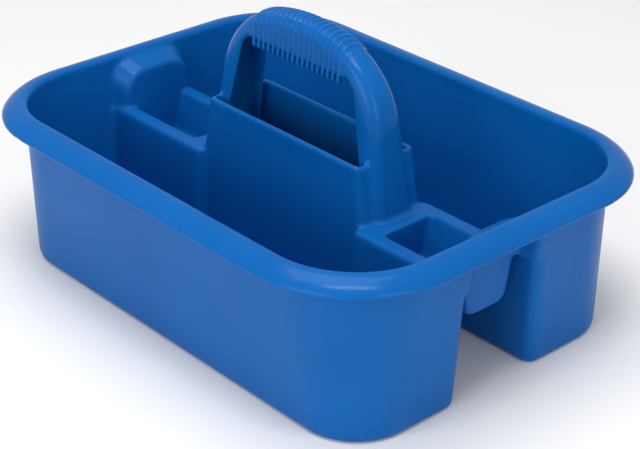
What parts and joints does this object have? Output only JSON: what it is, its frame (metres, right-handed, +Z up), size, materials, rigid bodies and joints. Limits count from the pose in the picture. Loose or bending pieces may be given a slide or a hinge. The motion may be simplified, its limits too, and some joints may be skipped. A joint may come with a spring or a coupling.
{
  "type": "cleaning caddy",
  "caption": "Moulded cleaning caddy: open bins each side of an arched ribbed handle, with small end trays and a rolled rim.",
  "frame": {"origin": "middle of the underside, on the surface that the caddy stands on", "axes": "+X along the caddy (the direction in which the handle's grip runs), +Y across it, +Z up"},
  "size_m": [0.467, 0.352, 0.234],
  "materials": {
    "caddy_plastic": "semi-gloss moulded polypropylene, smooth rim and handle, faintly textured walls"
  },
  "bodies": {
    "root": {"front_bin": "caddy_plastic", "rear_bin": "caddy_plastic", "rim": "caddy_plastic", "front_divider": "caddy_plastic", "rear_divider": "caddy_plastic", "handle_grip": "caddy_plastic", "right_handle_leg": "caddy_plastic", "left_handle_leg": "caddy_plastic", "right_saddle": "caddy_plastic", "left_saddle": "caddy_plastic", "right_tray": "caddy_plastic", "left_tray": "caddy_plastic", "right_end_arch": "caddy_plastic", "left_end_arch": "caddy_plastic"}
  },
  "joints": []
}
